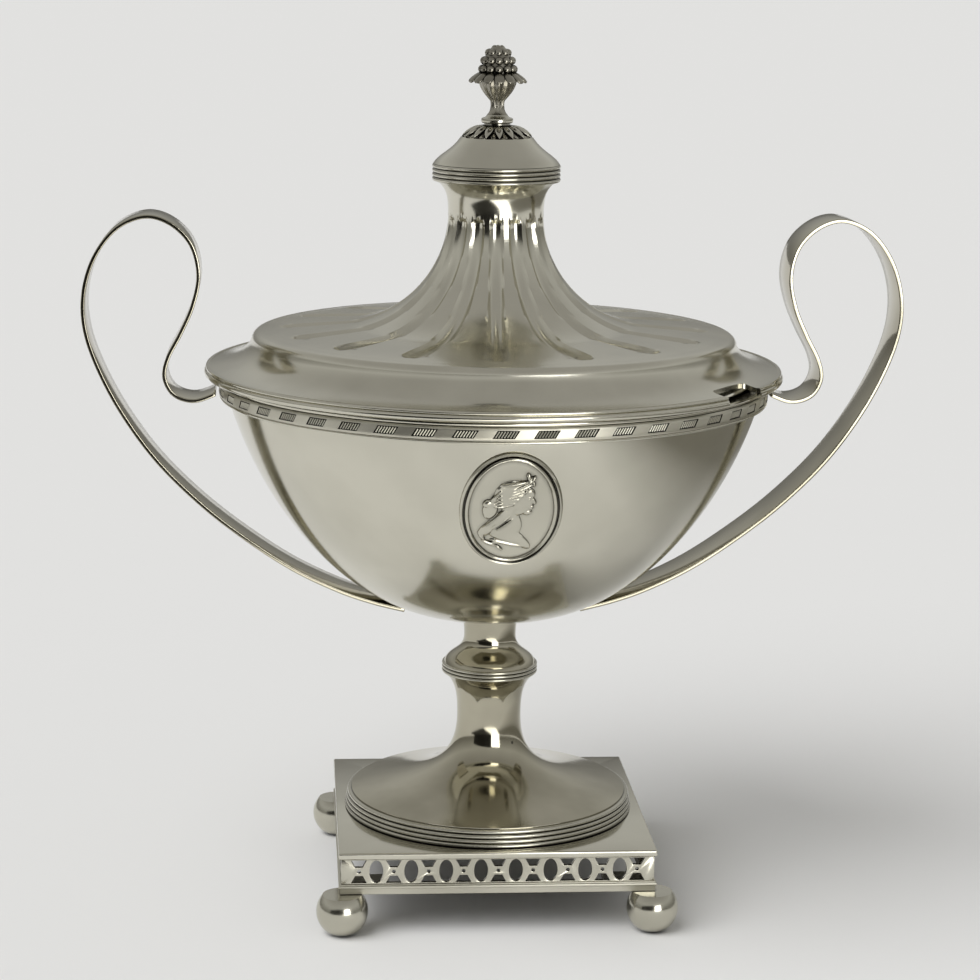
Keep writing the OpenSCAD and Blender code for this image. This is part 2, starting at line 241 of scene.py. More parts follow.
def silver(name, light, dark, roughness, wear, oxide=None, satin=None):
    finish = bpy.data.materials.new(name)
    finish.use_nodes = True
    tree = finish.node_tree
    shader = tree.nodes["Principled BSDF"]
    shader.inputs["Metallic"].default_value = 1.0
    place = add(tree, "ShaderNodeTexCoord").outputs["Object"]
    # hand polishing leaves clouds some 20 mm across and a faint film
    clouds = add(tree, "ShaderNodeTexNoise", {"Scale": 50.0, "Detail": 3.0, "Roughness": 0.5},
                 {"Vector": place})
    film = add(tree, "ShaderNodeValToRGB", links={"Fac": clouds.outputs["Fac"]})
    film.color_ramp.elements[0].position = 0.35
    film.color_ramp.elements[0].color = linear(dark)
    film.color_ramp.elements[1].position = 0.62
    film.color_ramp.elements[1].color = linear(light)
    colour = film.outputs["Color"]
    # pin-head tarnish specks, about 0.4 mm, some 15 mm apart
    cells = add(tree, "ShaderNodeTexVoronoi", {"Scale": 66.0, "Randomness": 1.0}, {"Vector": place})
    speck = add(tree, "ShaderNodeMapRange",
                {"From Min": 0.016, "From Max": 0.03, "To Min": wear["specks"], "To Max": 0.0},
                {"Value": cells.outputs["Distance"]})
    spotted = add(tree, "ShaderNodeMix", {"data_type": "RGBA", 7: linear("#3b3833")},
                  {0: speck.outputs["Result"], 6: colour})
    colour = spotted.outputs[2]
    if oxide:
        # black sulphide left in the hollows of chased work
        hollow = add(tree, "ShaderNodeAmbientOcclusion",
                     {"samples": 8, "Distance": oxide["reach"] / perMetre})
        depth = add(tree, "ShaderNodeMapRange",
                    {"From Min": oxide["from"], "From Max": oxide["to"], "To Min": 1.0, "To Max": 0.0},
                    {"Value": hollow.outputs["AO"]})
        blackened = add(tree, "ShaderNodeMix", {"data_type": "RGBA", 7: linear(oxide["colour"])},
                        {0: depth.outputs["Result"], 6: colour})
        colour = blackened.outputs[2]
    tree.links.new(colour, shader.inputs["Base Color"])
    # wiping marks: long fine scratches, drawn 0.25 mm apart so that they show
    stretched = add(tree, "ShaderNodeMapping", {"Scale": (1.0, 1.0, 14.0)}, {"Vector": place})
    scratches = add(tree, "ShaderNodeTexNoise", {"Scale": 260.0, "Detail": 6.0, "Roughness": 0.65},
                    {"Vector": stretched.outputs["Vector"]})
    rough = add(tree, "ShaderNodeMapRange", {"From Min": 0.3, "From Max": 0.75, "To Min": roughness[0],
                                             "To Max": roughness[1]}, {"Value": clouds.outputs["Fac"]})
    marks = add(tree, "ShaderNodeMath", {"operation": "MULTIPLY_ADD", 1: wear["scratches"]},
                {0: scratches.outputs["Fac"], 2: rough.outputs["Result"]})
    dulled = marks.outputs["Value"]
    if satin:
        height = add(tree, "ShaderNodeSeparateXYZ", links={"Vector": place})
        starts = add(tree, "ShaderNodeMapRange",
                     {"From Min": satin["from"] / perMetre, "From Max": satin["full"] / perMetre,
                      "To Min": 0.0, "To Max": satin["rise"]}, {"Value": height.outputs["Z"]})
        ends = add(tree, "ShaderNodeMapRange",
                   {"From Min": satin["fade"] / perMetre, "From Max": satin["to"] / perMetre,
                    "To Min": 1.0, "To Max": 0.0}, {"Value": height.outputs["Z"]})
        rise = add(tree, "ShaderNodeMath", {"operation": "MULTIPLY"},
                   {0: starts.outputs["Result"], 1: ends.outputs["Result"]})
        more = add(tree, "ShaderNodeMath", {"operation": "ADD"}, {0: dulled, 1: rise.outputs["Value"]})
        dulled = more.outputs["Value"]
    tree.links.new(dulled, shader.inputs["Roughness"])
    # dents and hammer traces of hand raising, about 12 mm across and some hundredths of a millimetre deep
    ripple = add(tree, "ShaderNodeTexNoise", {"Scale": 85.0, "Detail": 1.0}, {"Vector": place})
    dentDeep, lineDeep = 0.06 / perMetre, 0.01 / perMetre
    dents = add(tree, "ShaderNodeBump", {"Strength": wear["dents"], "Distance": dentDeep},
                {"Height": ripple.outputs["Fac"]})
    lines = add(tree, "ShaderNodeBump", {"Strength": wear["lines"], "Distance": lineDeep},
                {"Height": scratches.outputs["Fac"], "Normal": dents.outputs["Normal"]})
    tree.links.new(lines.outputs["Normal"], shader.inputs["Normal"])
    return finish


# spun and hand-polished sterling sheet: bright and a little warm, with soft wiping marks
polished = silver("sterling_hand_polished", "#d9d6c8", "#cfccbe", (0.08, 0.15),
                  {"specks": 0.75, "scratches": 0.06, "dents": 0.35, "lines": 0.3})
# the lid's broad dome is wiped to a satin, while its waist stays bright
satin = silver("sterling_lid_satin", "#d9d6c8", "#cecbbd", (0.09, 0.17),
               {"specks": 0.75, "scratches": 0.08, "dents": 0.35, "lines": 0.35},
               satin={"rise": 0.06, "from": 126.0, "full": 128.0, "fade": 134.0, "to": 147.0})
# drawn and cast parts: same metal, buffed only on the high places
cast = silver("sterling_cast_buffed", "#cdcabc", "#bfbcae", (0.1, 0.2),
              {"specks": 0.3, "scratches": 0.08, "dents": 0.3, "lines": 0.4},
              {"reach": 0.9, "from": 0.3, "to": 0.85, "colour": "#2c2924"})
# die-rolled and chased ornament: bright on top, black oxide in the grooves
chased = silver("sterling_chased_oxidised", "#d0cdc0", "#bfbcae", (0.12, 0.22),
                {"specks": 0.2, "scratches": 0.08, "dents": 0.2, "lines": 0.4},
                {"reach": 1.2, "from": 0.4, "to": 0.95, "colour": "#161412"})
# stamped medallion: the oxide stays as a line round every raised shape
medalSilver = silver("sterling_stamped_medallion", "#d4d1c3", "#c5c2b4", (0.12, 0.2),
                     {"specks": 0.2, "scratches": 0.08, "dents": 0.2, "lines": 0.4},
                     {"reach": 0.9, "from": 0.5, "to": 0.99, "colour": "#141210"})
# the cast finial has been let go dark, and only its high places are rubbed bright
finialCast = silver("sterling_finial_darkened", "#b5b1a4", "#7d796f", (0.14, 0.26),
                    {"specks": 0.2, "scratches": 0.08, "dents": 0.2, "lines": 0.4},
                    {"reach": 1.4, "from": 0.45, "to": 1.0, "colour": "#141210"})
# the sunk ground of the rim border, left black and matt by the oxide
oxidised = silver("sterling_oxidised_ground", "#2a2723", "#1c1a17", (0.4, 0.55),
                  {"specks": 0.0, "scratches": 0.05, "dents": 0.1, "lines": 0.4})
# the rolled border and the plinth's frame: the same metal, worn to an even satin on its high places
rolled = silver("sterling_rolled_border", "#d6d3c5", "#c6c3b5", (0.32, 0.4),
                {"specks": 0.2, "scratches": 0.08, "dents": 0.2, "lines": 0.4},
                {"reach": 0.5, "from": 0.2, "to": 0.7, "colour": "#161412"})
# foot, stem and handles: a darker, grey-yellow copy of the polished silver, its darker tone painted shade for
# the dimmer room these parts reflect
shadedSilverCopy = silver("sterling_painted_shade_copy", "#c0bba9", "#a9a492", (0.045, 0.09),
                {"specks": 0.75, "scratches": 0.06, "dents": 0.35, "lines": 0.3})
# silver that is never wiped: an even grey-brown tarnish film, made dark enough to serve as painted shade as
# well; it goes only on the plinth's inner and under faces
tarnishAndPaintedShade = silver("sterling_tarnished_inside", "#6b675d", "#4e4a42", (0.35, 0.5),
                   {"specks": 0.3, "scratches": 0.05, "dents": 0.2, "lines": 0.3})
# turned steel fixings under a thin plating, dull from handling
plain = silver("plated_fixing_dull", "#a8a493", "#8f8b7c", (0.25, 0.4),
               {"specks": 0.4, "scratches": 0.15, "dents": 0.1, "lines": 0.5})
print("finishes made")


# The plinth: a square plate on a pierced frame, with four ball feet.

plinth = {"plateEdge": 0.35, "frameEdge": 0.22, "galleryEdge": 0.1, "insideFrom": 11,
          "ballWide": 11.4, "ballHigh": 9.1, "reach": 34.2, "under": 0.35}


def paintShadeInside(piece):
    # painted shade as well as tarnish: the plinth's inward-facing faces, and its downward faces above
    # insideFrom, take the dark ground finish that stands in for the shade under the plate
    for face in piece.data.polygons:
        inward = face.normal.x * face.center.x + face.normal.y * face.center.y < -0.6 * face.center.xy.length
        below = face.normal.z < -0.9 and face.center.z * perMetre > plinth["insideFrom"]
        face.material_index = int(inward or below)


# plate, frame and gallery: their inner and under faces get the dark ground, painted shade as well as tarnish
plate = nodeCopy("plinthPlate", "plinth_plate", plinth["plateEdge"], 3)
handOver(plate, "bowl", polished, "polished_silver", "plinth_plate", ground=tarnishAndPaintedShade)
paintShadeInside(plate)
frameRing = nodeCopy("plinthFrame", "plinth_frame", plinth["frameEdge"], 3)
handOver(frameRing, "bowl", rolled, "cast_silver", "plinth_frame", ground=tarnishAndPaintedShade)
paintShadeInside(frameRing)
for sideName in ("front", "rear", "left", "right"):
    strip = nodeCopy("gallery" + sideName.capitalize(), "gallery_" + sideName, plinth["galleryEdge"], 2)
    handOver(strip, "bowl", cast, "cast_silver", "gallery_" + sideName, ground=tarnishAndPaintedShade)
    paintShadeInside(strip)


def ballFoot(name, x, y):
    allDeselected()
    centre = plinth["ballWide"] / 2 - plinth["under"]
    bpy.ops.mesh.primitive_uv_sphere_add(segments=64, ring_count=40, radius=plinth["ballWide"] / 2 / perMetre,
                                         location=(x / perMetre, y / perMetre, centre / perMetre))
    foot = bpy.context.object
    foot.name = name
    applied(foot)
    bpy.ops.object.mode_set(mode="EDIT")
    for height, clearTop in ((plinth["ballHigh"], True), (0.0, False)):
        bpy.ops.mesh.select_all(action="SELECT")
        bpy.ops.mesh.bisect(plane_co=(0, 0, height / perMetre), plane_no=(0, 0, 1), use_fill=True,
                            threshold=mergeWithin, clear_outer=clearTop, clear_inner=not clearTop)
    bpy.ops.object.mode_set(mode="OBJECT")
    return smoothed(foot, 30)


for row, sy in (("front", -1), ("rear", 1)):
    for hand, sx in (("left", -1), ("right", 1)):
        node = "foot_" + row + "_" + hand
        name = "foot" + row.capitalize() + hand.capitalize()
        foot = ballFoot(name, sx * plinth["reach"], sy * plinth["reach"])
        handOver(foot, "bowl", cast, "cast_silver", node)
print("plinth made")


# The pedestal: a domed foot that runs up into the stem, its reeded ring, the knop and the spool.

# waist and knop are (radius, height), with the knop's own height last; the reeds lean in as they rise
pedestal = {"edge": 31.4, "edgeHigh": 4.3, "waist": (7.3, 21.5), "knop": (10.9, 31.6, 2.4), "wall": 0.9,
            "reeding": 33.0, "reed": 0.5, "reeds": 4, "reedLean": 0.22, "gap": 0.02}
fine = 256  # steps round the wide turned pieces

knopR, knopZ, knopH = pedestal["knop"]
footLine = curve((pedestal["edge"], pedestal["edgeHigh"]), (14, 8), (7.3, 10), pedestal["waist"], 40)
stemLine = footLine + curve(pedestal["waist"], (7.3, 26.5), (7.8, 29.4), (10.5, knopZ), 20)[1:]
innerStem = [p for p in stemLine if p[1] < 31.1]
outline = ([(pedestal["edge"], 0)] + stemLine + moved(innerStem, pedestal["wall"])[::-1]
           + [(pedestal["edge"] - pedestal["wall"], 0)])
stem = smoothed(turned("pedestalStem", outline, fine))
# foot and stem take the darker copy of the silver, painted shade
handOver(stem, "bowl", shadedSilverCopy, "polished_silver", "pedestal_foot")

back = pedestal["edge"] + pedestal["gap"]
edgeReeds = reeds(pedestal["reeding"], pedestal["reed"], pedestal["reeds"], pedestal["reedLean"])
outline = [(back, 0)] + edgeReeds + [(back, 2 * pedestal["reed"] * pedestal["reeds"])]
reeding = smoothed(turned("pedestalReeding", outline, fine))
handOver(reeding, "bowl", chased, "cast_silver", "pedestal_reeding")

outline = [(0, knopZ)] + reeds(knopR, knopH / 6, 3, base=knopZ) + [(0, knopZ + knopH)]
handOver(smoothed(turned("stemKnop", outline)), "bowl", chased, "cast_silver", "stem_knop")

spool = {"low": (10.4, 34.0), "neck": (5.9, 40.2), "top": (7.1, 45.6)}
spoolLine = (curve(spool["low"], (9.6, 36.6), (5.9, 36.6), spool["neck"], 20)
             + curve(spool["neck"], (5.9, 42.8), (6.2, 44.6), spool["top"], 14)[1:])
outline = [(0, spool["low"][1])] + spoolLine + [(0, spool["top"][1])]
# the spool takes the darker copy of the silver, painted shade
handOver(smoothed(turned("stemSpool", outline)), "bowl", shadedSilverCopy, "polished_silver", "stem_spool")
print("pedestal made")


# The bowl, with two wires and a ribbon border round its rim.

bowl = {"foot": (7.4, 45.6), "wall": 1.0, "rimR": 60.0, "rimZ": 100.2, "borderR": 61.3, "borderZ": 96.1,
        "borderHigh": 2.9, "repeats": 46, "backR": 60.05}

bowlLine = (curve(bowl["foot"], (36, 45.8), (54, 76.5), (59.3, 95.8), 64)
            + [(bowl["rimR"], bowl["rimZ"])])
outline = ([(0, bowl["foot"][1])] + bowlLine + moved(bowlLine, bowl["wall"])[::-1]
           + [(0, bowl["foot"][1] + bowl["wall"])])
shell = smoothed(turned("bowlShell", outline, fine))
handOver(shell, "bowl", polished, "polished_silver", "bowl_shell")

# radius, lowest height and half thickness of the two rim wires
wires = {"rim_wire_lower": (61.15, 95.5, 0.3), "rim_wire_upper": (61.2, 99.0, 0.6)}
for node, (wireR, wireZ, reedR) in wires.items():
    outline = ([(bowl["backR"], wireZ)] + reeds(wireR, reedR, 1, base=wireZ)
               + [(bowl["backR"], wireZ + 2 * reedR)])
    wire = smoothed(turned(node.replace("_", "."), outline, fine))
    handOver(wire, "bowl", polished, "cast_silver", node)

# rolled border: slanted pockets with leaning ribs, between plain bands
border = {"columns": 11, "pocket": 6, "low": 0.6, "high": 2.3, "deep": 0.55, "slant": 0.6,
          "ribs": 7, "rib": 0.17, "ribLong": 1.55, "ribLean": -32, "ribIn": 0.27}


def borderTwist(z):
    return radians(border["slant"] * (z - bowl["borderZ"] - bowl["borderHigh"] / 2))


zs = [0, 0.15, border["low"], 1.0, 1.45, 1.9, border["high"], 2.75, 2.9]
bulge = [0.25, 0.08, 0.0, 0.0, 0.0, 0.0, 0.0, 0.08, 0.25]
outline = [(bowl["borderR"] - 0.05 - b, bowl["borderZ"] + z) for z, b in zip(zs, bulge)]
outline += [(bowl["backR"], bowl["borderZ"] + bowl["borderHigh"]), (bowl["backR"], bowl["borderZ"])]
ribbon = turned("rimBorder", outline, bowl["repeats"] * border["columns"], twist=borderTwist)
active(ribbon)
bpy.ops.object.mode_set(mode="EDIT")
bpy.ops.mesh.select_mode(type="FACE")
bpy.ops.mesh.select_all(action="DESELECT")
bpy.ops.object.mode_set(mode="OBJECT")
lowZ, highZ = (plateTop + bowl["borderZ"] + border[k] for k in ("low", "high"))
step = 2 * pi / bowl["repeats"] / border["columns"]
for face in ribbon.data.polygons:
    c = face.center * perMetre
    if c.xy.length > 60.7 and lowZ < c.z < highZ and abs(face.normal.z) < 0.5:
        column = round((atan2(c.y, c.x) - borderTwist(c.z - plateTop)) / step - 0.5)
        face.select = column % border["columns"] < border["pocket"]
bpy.ops.object.mode_set(mode="EDIT")
bpy.ops.mesh.extrude_region_shrink_fatten(TRANSFORM_OT_shrink_fatten={"value": -border["deep"] / perMetre})
bpy.ops.object.mode_set(mode="OBJECT")

# the pockets' ground and walls are oxidised; the ribs and bands are bright
ribbon.data.materials.append(rolled)
ribbon.data.materials.append(oxidised)
for face in ribbon.data.polygons:
    c = face.center * perMetre
    sunk = bowl["rimR"] + 0.4 < c.xy.length < bowl["borderR"] - 0.1
    face.material_index = int(sunk and lowZ - 0.1 < c.z < highZ + 0.1)

# one pocket's ribs, copied round
allDeselected()
pocketTurn = step * border["pocket"]
ribs = []
ribPlace = Vector((bowl["borderR"] - border["ribIn"], 0, plateTop + bowl["borderZ"] + bowl["borderHigh"] / 2))
for i in range(border["ribs"]):
    turn = pocketTurn * (i + 0.75) / (border["ribs"] + 0.5)
    bpy.ops.mesh.primitive_cylinder_add(vertices=8, radius=border["rib"] / perMetre,
                                        depth=border["ribLong"] / perMetre, end_fill_type="NGON",
                                        location=ribPlace / perMetre,
                                        rotation=(radians(border["ribLean"]), 0, 0))
    rib = applied(bpy.context.object)
    ribs.append(rib)
    rib.rotation_euler = (0, 0, turn)
    applied(rib)
oneSet = joined("ribSet", ribs)
oneSet.data.materials.append(rolled)
ribSets = [copied(oneSet, 2 * pi * i / bowl["repeats"]) for i in range(bowl["repeats"])]
removed(oneSet)
ribbon = joined("rimBorder", [ribbon] + ribSets)
handOver(smoothed(ribbon, 40), "bowl", rolled, "chased_silver", "rim_border", ground=oxidised)
print("bowl made")


# The handles: flat straps, bent round.

# from the rim, round the curl and down to the bowl's underside
strap = {"wide": 13.0, "thick": 0.88, "edge": 0.2, "rim": (61.2, 90), "points": [
    (60.4, 97.2), (66.3, 95.1), (70.9, 96.4), (73, 100.2), (72.2, 104.6), (69.4, 110), (66.7, 116.2),
    (65.4, 123), (67, 129.6), (71.4, 134.1), (77, 135.6), (83.2, 132.9), (88, 126.6), (90.4, 118.6),
    (90.1, 110.4), (87, 101.2), (81.7, 91.2), (74.3, 81), (64.6, 71.3), (54.6, 63.4), (44.6, 56.8),
    (34.8, 52), (27.2, 49.3), (19.8, 47.4)]}


def through(points, steps):
    line = []
    for i in range(len(points) - 1):
        a, b = Vector(points[i]), Vector(points[i + 1])
        before = Vector(points[i - 1]) if i else 2 * a - b
        after = Vector(points[i + 2]) if i + 2 < len(points) else 2 * b - a
        for k in range(steps):
            t = k / steps
            line.append(0.5 * (2 * a + (b - before) * t + (2 * before - 5 * a + 4 * b - after) * t**2
                               + (3 * a - before - 3 * b + after) * t**3))
    return line + [Vector(points[-1])]


strapLine = through(strap["points"], 8)
# the strap stops where it meets the rim border
kept = [p for p in strapLine if not (p.y > strap["rim"][1] and p.x < strap["rim"][0])]
points = [Vector((p.x, -strap["wide"] / 2, p.y + plateTop)) / perMetre for p in kept]
rightStrap = drawLine("handleRight", points)
bpy.ops.mesh.select_all(action="SELECT")
bpy.ops.mesh.extrude_region_move(TRANSFORM_OT_translate={"value": (0, strap["wide"] / perMetre, 0)})
bpy.ops.mesh.select_all(action="SELECT")
bpy.ops.mesh.normals_make_consistent(inside=False)
bpy.ops.object.mode_set(mode="OBJECT")
modified(rightStrap, "SOLIDIFY", thickness=strap["thick"] / perMetre, offset=0.0, use_even_offset=True)
modified(rightStrap, "BEVEL", width=strap["edge"] / perMetre, segments=3, limit_method="ANGLE",
         angle_limit=radians(50))
smoothed(rightStrap, 40)
leftStrap = copied(rightStrap, pi)
leftStrap.name = "handleLeft"
for strapPiece, node in ((rightStrap, "handle_right"), (leftStrap, "handle_left")):
    # both straps take the darker copy of the silver, painted shade
    handOver(strapPiece, "bowl", shadedSilverCopy, "polished_silver", node)
print("handles made")


# The lid, all but its finial.

# notch is (width, depth, turn in degrees); the cone is an arc of radius domeR that ends at the neck
lid = {"flangeR": 64.48, "beadWide": 1.3, "sheet": 1.0, "steps": 384, "notch": (14.0, 5.0, -38.0),
       "notchRound": 1.2, "domeR": 25.2, "neck": (10.6, 136.6), "ringZ": 143.4, "capZ": 147.2, "bore": 1.28}

domeCentre = (lid["neck"][0] + lid["domeR"], lid["neck"][1])
lineEdge = lid["flangeR"] - lid["beadWide"]
coneArc = arc(domeCentre, lid["domeR"], 262, 180, 46)
lidLine = (curve((lineEdge, 102.6), (60, 103.2), (55.6, 104.3), (54, 108), 14)
           + arc((52, 108), 2, 15, 80, 8)
           + curve((50.3, 110.1), (46, 110.7), (40, 111), coneArc[0], 34)
           + coneArc[1:]
           + curve(lid["neck"], (10.6, 139.8), (11, 141.8), (13.2, lid["ringZ"]), 12)[1:])
lidShell = turned("lidShell", lidLine, lid["steps"], closed=False)

# hollow flutes with round ends, pressed in from the dome's edge up to the neck
flutes = {"count": 16, "lowR": 45.3, "low": 2.4, "high": 1.5, "deep": 1.5, "topZ": 134.4, "turn": -93.3,
          "crowd": 0.55, "crisp": 0.6, "coneZ": 107, "coneR": 49.5}
group = lidShell.vertex_groups.new(name="flutes")
pitch = 2 * pi / flutes["count"]
for vertex in lidShell.data.vertices:
    p = vertex.co * perMetre
    r, z = p.xy.length, p.z - plateTop
    angle = atan2(p.y, p.x) - radians(flutes["turn"])
    middle = pitch * round(angle / pitch)
    # the mesh lines are crowded into the flutes, so that their edges come out crisp
    part = (angle - middle) / pitch
    part *= 1 - flutes["crowd"] + 4 * flutes["crowd"] * part * part
    turn = middle + part * pitch + radians(flutes["turn"])
    vertex.co = Vector((r * cos(turn), r * sin(turn), p.z)) / perMetre
    if z < flutes["coneZ"] or r > flutes["coneR"]:
        continue
    share = (r - lid["neck"][0]) / (flutes["lowR"] - lid["neck"][0])
    half = flutes["high"] + (flutes["low"] - flutes["high"]) * min(1, share)
    across = r * sin(part * pitch)
    along = max(0.0, r - flutes["lowR"], z - flutes["topZ"])
    off = hypot(across, along) / half
    if off < 1:
        depth = (1 - off * off) ** flutes["crisp"] * (0.6 + 0.4 * smoothStep(2 * share))
        group.add([vertex.index], depth, "REPLACE")
modified(lidShell, "DISPLACE", strength=-flutes["deep"] / perMetre, mid_level=0.0, vertex_group="flutes")
modified(lidShell, "SOLIDIFY", thickness=lid["sheet"] / perMetre, offset=-1.0)

# a stout reed with a finer one above it
outline = ([(lineEdge + 0.02, 100.5)]
           + arc((lid["flangeR"] - 0.72, 101.22), 0.72, -90, 75, 14)
           + arc((lid["flangeR"] - 0.75, 102.27), 0.4, -70, 100, 10)
           + [(lineEdge + 0.02, 102.67)])
bead = turned("lidEdgeBead", outline, fine)


def notchTool(turn):
    allDeselected()
    wide, deep, _ = lid["notch"]
    long, high, middleZ = 10, 8, 103.5
    toolPlace = Vector((lid["flangeR"] + long / 2, 0, plateTop + middleZ))
    bpy.ops.mesh.primitive_cube_add(size=1, scale=Vector((long, wide, high)) / perMetre,
                                    location=toolPlace / perMetre)
    tool = applied(bpy.context.object)
    tool.location.x = -deep / perMetre
    applied(tool)
    bpy.ops.object.mode_set(mode="EDIT")
    bpy.ops.mesh.select_mode(type="EDGE")
    bpy.ops.mesh.select_all(action="DESELECT")
    bpy.ops.object.mode_set(mode="OBJECT")
    inside = min(v.co.x for v in tool.data.vertices)
    for edge in tool.data.edges:
        a, b = (tool.data.vertices[i].co for i in edge.vertices)
        edge.select = abs(a.x - inside) < 1e-6 and abs(b.x - inside) < 1e-6 and abs(a.z - b.z) > 1e-4
    bpy.ops.object.mode_set(mode="EDIT")
    bpy.ops.mesh.bevel(offset=lid["notchRound"] / perMetre, segments=6)
    bpy.ops.object.mode_set(mode="OBJECT")
    tool.rotation_euler = (0, 0, radians(turn))
    return applied(tool)


for turn in (lid["notch"][2], lid["notch"][2] + 180):
    tool = notchTool(turn)
    cut(lidShell, tool)
    cut(bead, tool)
    removed(tool)
handOver(smoothed(lidShell, 24), "lid", satin, "polished_silver", "lid_shell")
handOver(smoothed(bead, 40), "lid", polished, "cast_silver", "lid_edge_bead")

# the inner ring that centres the lid in the bowl's mouth
outline = [(57.2, 96.5), (58.1, 96.5), (58.1, 102.2), (57.2, 102.4)]
bezel = turned("lidBezel", outline, fine)
modified(bezel, "BEVEL", width=0.2 / perMetre, segments=2, limit_method="ANGLE", angle_limit=radians(40))
handOver(smoothed(bezel), "lid", polished, "polished_silver", "lid_bezel")

ringReeds = {"r": 14.2, "reed": 0.475, "count": 4}
outline = ([(lid["bore"], lid["ringZ"])]
           + reeds(ringReeds["r"], ringReeds["reed"], ringReeds["count"], base=lid["ringZ"])
           + [(lid["bore"], lid["capZ"])])
handOver(smoothed(turned("neckRing", outline)), "lid", chased, "cast_silver", "neck_ring")

capLine = curve((14, lid["capZ"]), (12.6, 149.4), (10.2, 149.8), (8, 153), 24) + [(4, 154.3)]
outline = [(lid["bore"], lid["capZ"])] + capLine + [(lid["bore"], 154.3)]
handOver(smoothed(turned("lidCap", outline)), "lid", polished, "polished_silver", "lid_cap")
print("lid made")


# The finial: a rosette of leaves, a collar, a calyx and a berry.

def leaf(name, line, halfWidths, ridge, thick):
    # a pointed leaf along +X: rows of points, the middle one lifted as a ridge, then given a thickness
    across = len(line)
    allDeselected()
    bpy.ops.mesh.primitive_grid_add(x_subdivisions=across - 1, y_subdivisions=4, size=1)
    piece = bpy.context.object
    piece.name = name
    columns = sorted({round(v.co.x, 5) for v in piece.data.vertices})
    for vertex in piece.data.vertices:
        i = columns.index(round(vertex.co.x, 5))
        side = vertex.co.y * 2
        (r, z), half = line[i], halfWidths[i]
        lift = ridge * (1 - abs(side)) * min(1.0, half / max(halfWidths) * 1.4)
        vertex.co = Vector((r, side * half, z + lift + plateTop)) / perMetre
    modified(piece, "SOLIDIFY", thickness=thick / perMetre, offset=-1.0)
    modified(piece, "SUBSURF", levels=1, render_levels=1)
    return piece


rosette = {
    "count": 16,
    "upper": [(3.2, 155.3), (4.2, 155.3), (5.2, 155.05), (6.2, 154.55), (7.1, 153.9), (7.9, 153.2)],
    "upperHalf": [0.5, 0.8, 1.0, 0.95, 0.6, 0.06],
    "lower": [(3.2, 154.5), (4.4, 154.45), (5.6, 154.1), (6.6, 153.6), (7.4, 153.15), (8.05, 152.75)],
    "lowerHalf": [0.5, 0.8, 0.95, 0.8, 0.5, 0.06],
    "hub": [(1.3, 153.9), (5.4, 153.85), (5.6, 154.3), (4.6, 154.9), (3.5, 155.66), (1.3, 155.66)],
}
upperLeaf = leaf("upperLeaf", rosette["upper"], rosette["upperHalf"], ridge=0.4, thick=0.4)
lowerLeaf = leaf("lowerLeaf", rosette["lower"], rosette["lowerHalf"], ridge=0.2, thick=0.3)
petals = [copied(upperLeaf, 2 * pi * i / rosette["count"]) for i in range(rosette["count"])]
petals += [copied(lowerLeaf, 2 * pi * (i + 0.5) / rosette["count"]) for i in range(rosette["count"])]
removed(upperLeaf)
removed(lowerLeaf)
hub = turned("rosetteHub", rosette["hub"], 64)
rosettePiece = joined("leafRosette", petals + [hub])
handOver(smoothed(rosettePiece, 50), "lid", chased, "chased_silver", "leaf_rosette")

collarLine = [(1.3, 155.7), (2.9, 155.7), (2.9, 156.1), (3.3, 156.15), (3.5, 156.35), (3.55, 156.75),
              (3.45, 157.1), (3.2, 157.25), (2.7, 157.4), (2.4, 157.65), (2.3, 157.9), (1.3, 157.9)]
collar = smoothed(turned("finialCollar", collarLine, 96), 30)
handOver(collar, "lid", cast, "cast_silver", "finial_collar")

calyx = {"low": (2.25, 157.93), "waist": (1.6, 160.9), "ribs": 12, "deep": 0.3, "ribsFrom": 158.2, "tips": 14}
calyxLine = (curve(calyx["low"], (1.5, 158.7), (1.4, 159.8), calyx["waist"], 10)
             + curve(calyx["waist"], (2.2, 161.7), (3.5, 162.8), (4.1, 164.6), 12)[1:])
outline = [(0, calyx["low"][1])] + calyxLine + [(4.3, 165.8), (3.5, 166.6), (0, 166.7)]
cup = turned("calyxCup", outline, 120)
group = cup.vertex_groups.new(name="ribs")
for vertex in cup.data.vertices:
    p = vertex.co * perMetre
    angle = atan2(p.y, p.x) * calyx["ribs"]
    fade = smoothStep((p.z - plateTop - calyx["ribsFrom"]) / 2.5)
    group.add([vertex.index], (0.5 - 0.5 * cos(angle)) * fade, "REPLACE")
modified(cup, "DISPLACE", strength=-calyx["deep"] / perMetre, mid_level=0.0, vertex_group="ribs")
tipLine = [(3.2, 167.0), (4.3, 166.8), (5.2, 166.2), (5.9, 165.65), (6.35, 165.2), (6.55, 164.9)]
tip = leaf("calyxTip", tipLine, [0.8, 1.05, 1.25, 1.25, 0.95, 0.3], ridge=0.4, thick=0.55)
tips = [copied(tip, 2 * pi * (i + 0.5) / calyx["tips"]) for i in range(calyx["tips"])]
removed(tip)
calyxPiece = smoothed(joined("finialCalyx", [cup] + tips), 50)
handOver(calyxPiece, "lid", finialCast, "chased_silver", "finial_calyx")

